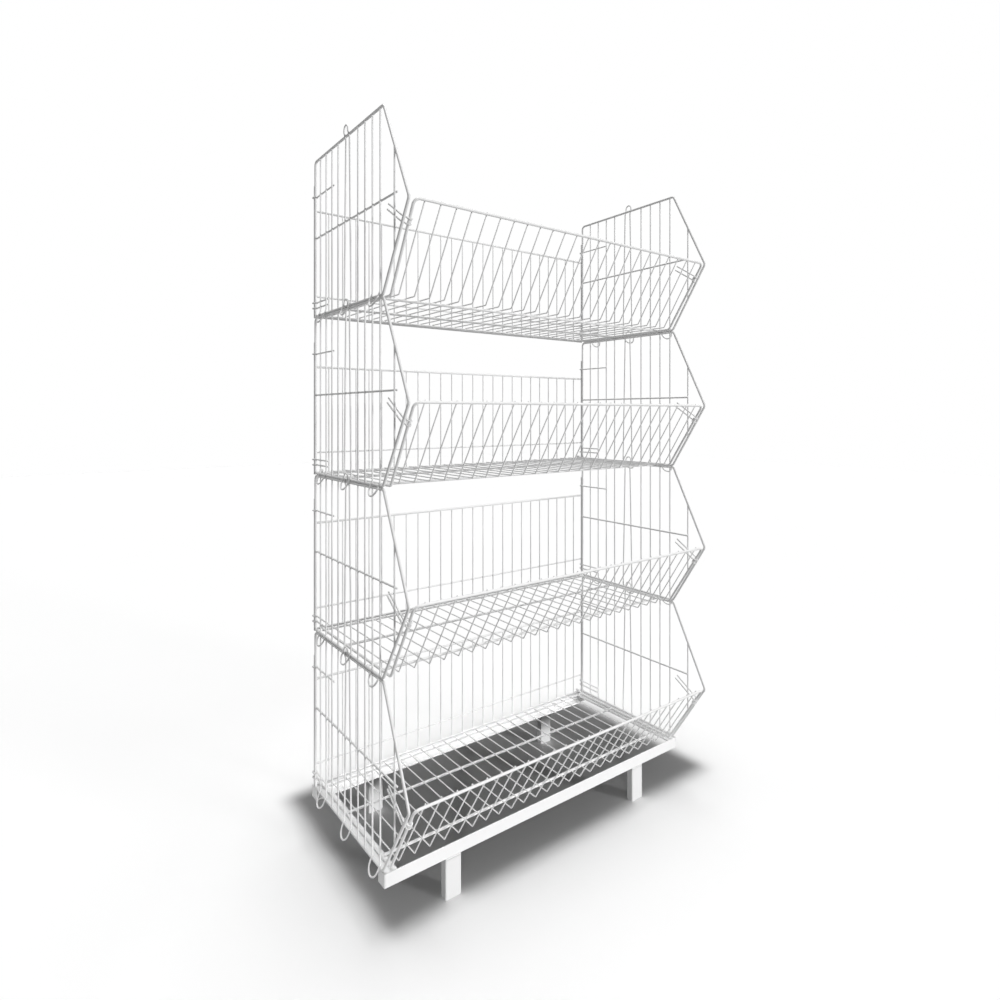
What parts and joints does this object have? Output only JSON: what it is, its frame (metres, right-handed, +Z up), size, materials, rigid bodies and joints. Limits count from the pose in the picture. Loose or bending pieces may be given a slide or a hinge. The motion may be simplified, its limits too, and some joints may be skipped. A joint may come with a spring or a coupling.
{
  "type": "wire basket display rack",
  "caption": "Free-standing shop rack of stacked wire baskets with open slanted fronts on a low steel stand; the baskets lift off and wire latches tie each front to its sides.",
  "frame": {"origin": "on the floor, under the middle of the rack's overall box", "axes": "+Z up, +X across the width, front of the baskets towards -Y"},
  "size_m": [0.9312, 0.4909, 1.6608],
  "materials": {
    "basket_coat": "satin white powder coat",
    "latch_coat": "satin white powder coat",
    "stand_coat": "satin white powder coat"
  },
  "bodies": {
    "stand": {"stand_front_rail": "stand_coat", "stand_rear_rail": "stand_coat", "stand_left_bar": "stand_coat", "stand_right_bar": "stand_coat", "stand_front_left_cap": "stand_coat", "stand_front_right_cap": "stand_coat", "stand_rear_left_cap": "stand_coat", "stand_rear_right_cap": "stand_coat", "stand_leg_front_left": "stand_coat", "stand_leg_front_right": "stand_coat", "stand_leg_rear_left": "stand_coat", "stand_leg_rear_right": "stand_coat"},
    "basket_1": {"basket_1_back_panel": "basket_coat", "basket_1_left_hinge_rod": "basket_coat", "basket_1_right_hinge_rod": "basket_coat", "basket_1_floor_and_front": "basket_coat", "basket_1_left_side": "basket_coat", "basket_1_right_side": "basket_coat"},
    "basket_1_left_latch": {"basket_1_left_latch": "latch_coat"},
    "basket_1_right_latch": {"basket_1_right_latch": "latch_coat"},
    "basket_2": {"basket_2_back_panel": "basket_coat", "basket_2_left_hinge_rod": "basket_coat", "basket_2_right_hinge_rod": "basket_coat", "basket_2_floor_and_front": "basket_coat", "basket_2_left_side": "basket_coat", "basket_2_right_side": "basket_coat"},
    "basket_2_left_latch": {"basket_2_left_latch": "latch_coat"},
    "basket_2_right_latch": {"basket_2_right_latch": "latch_coat"},
    "basket_3": {"basket_3_back_panel": "basket_coat", "basket_3_left_hinge_rod": "basket_coat", "basket_3_right_hinge_rod": "basket_coat", "basket_3_floor_and_front": "basket_coat", "basket_3_left_side": "basket_coat", "basket_3_right_side": "basket_coat"},
    "basket_3_left_latch": {"basket_3_left_latch": "latch_coat"},
    "basket_3_right_latch": {"basket_3_right_latch": "latch_coat"},
    "basket_4": {"basket_4_back_panel": "basket_coat", "basket_4_left_hinge_rod": "basket_coat", "basket_4_right_hinge_rod": "basket_coat", "basket_4_floor_and_front": "basket_coat", "basket_4_left_side": "basket_coat", "basket_4_right_side": "basket_coat"},
    "basket_4_left_latch": {"basket_4_left_latch": "latch_coat"},
    "basket_4_right_latch": {"basket_4_right_latch": "latch_coat"}
  },
  "joints": [
    {"name": "basket_1_lift", "type": "slide", "parent": "stand", "child": "basket_1", "axis": [0, 0, 1], "range_m": [0, 0.08]},
    {"name": "basket_1_left_latch_swing", "type": "hinge", "parent": "basket_1", "child": "basket_1_left_latch", "pos_m": [-0.43724, -0.21809, 0.24746], "axis": [0.0279, 0.538, -0.8425], "range_deg": [0, 90]},
    {"name": "basket_1_right_latch_swing", "type": "hinge", "parent": "basket_1", "child": "basket_1_right_latch", "pos_m": [0.43724, -0.21809, 0.24746], "axis": [0.0279, -0.538, 0.8425], "range_deg": [0, 90]},
    {"name": "basket_2_lift", "type": "slide", "parent": "basket_1", "child": "basket_2", "axis": [0, 0, 1], "range_m": [0, 0.08]},
    {"name": "basket_2_left_latch_swing", "type": "hinge", "parent": "basket_2", "child": "basket_2_left_latch", "pos_m": [-0.43724, -0.21809, 0.62897], "axis": [0.0279, 0.538, -0.8425], "range_deg": [0, 90]},
    {"name": "basket_2_right_latch_swing", "type": "hinge", "parent": "basket_2", "child": "basket_2_right_latch", "pos_m": [0.43724, -0.21809, 0.62897], "axis": [0.0279, -0.538, 0.8425], "range_deg": [0, 90]},
    {"name": "basket_3_lift", "type": "slide", "parent": "basket_2", "child": "basket_3", "axis": [0, 0, 1], "range_m": [0, 0.08]},
    {"name": "basket_3_left_latch_swing", "type": "hinge", "parent": "basket_3", "child": "basket_3_left_latch", "pos_m": [-0.43724, -0.21809, 1.01049], "axis": [0.0279, 0.538, -0.8425], "range_deg": [0, 90]},
    {"name": "basket_3_right_latch_swing", "type": "hinge", "parent": "basket_3", "child": "basket_3_right_latch", "pos_m": [0.43724, -0.21809, 1.01049], "axis": [0.0279, -0.538, 0.8425], "range_deg": [0, 90]},
    {"name": "basket_4_lift", "type": "slide", "parent": "basket_3", "child": "basket_4", "axis": [0, 0, 1], "range_m": [0, 0.08]},
    {"name": "basket_4_left_latch_swing", "type": "hinge", "parent": "basket_4", "child": "basket_4_left_latch", "pos_m": [-0.43724, -0.21809, 1.392], "axis": [0.0279, 0.538, -0.8425], "range_deg": [0, 90]},
    {"name": "basket_4_right_latch_swing", "type": "hinge", "parent": "basket_4", "child": "basket_4_right_latch", "pos_m": [0.43724, -0.21809, 1.392], "axis": [0.0279, -0.538, 0.8425], "range_deg": [0, 90]}
  ]
}
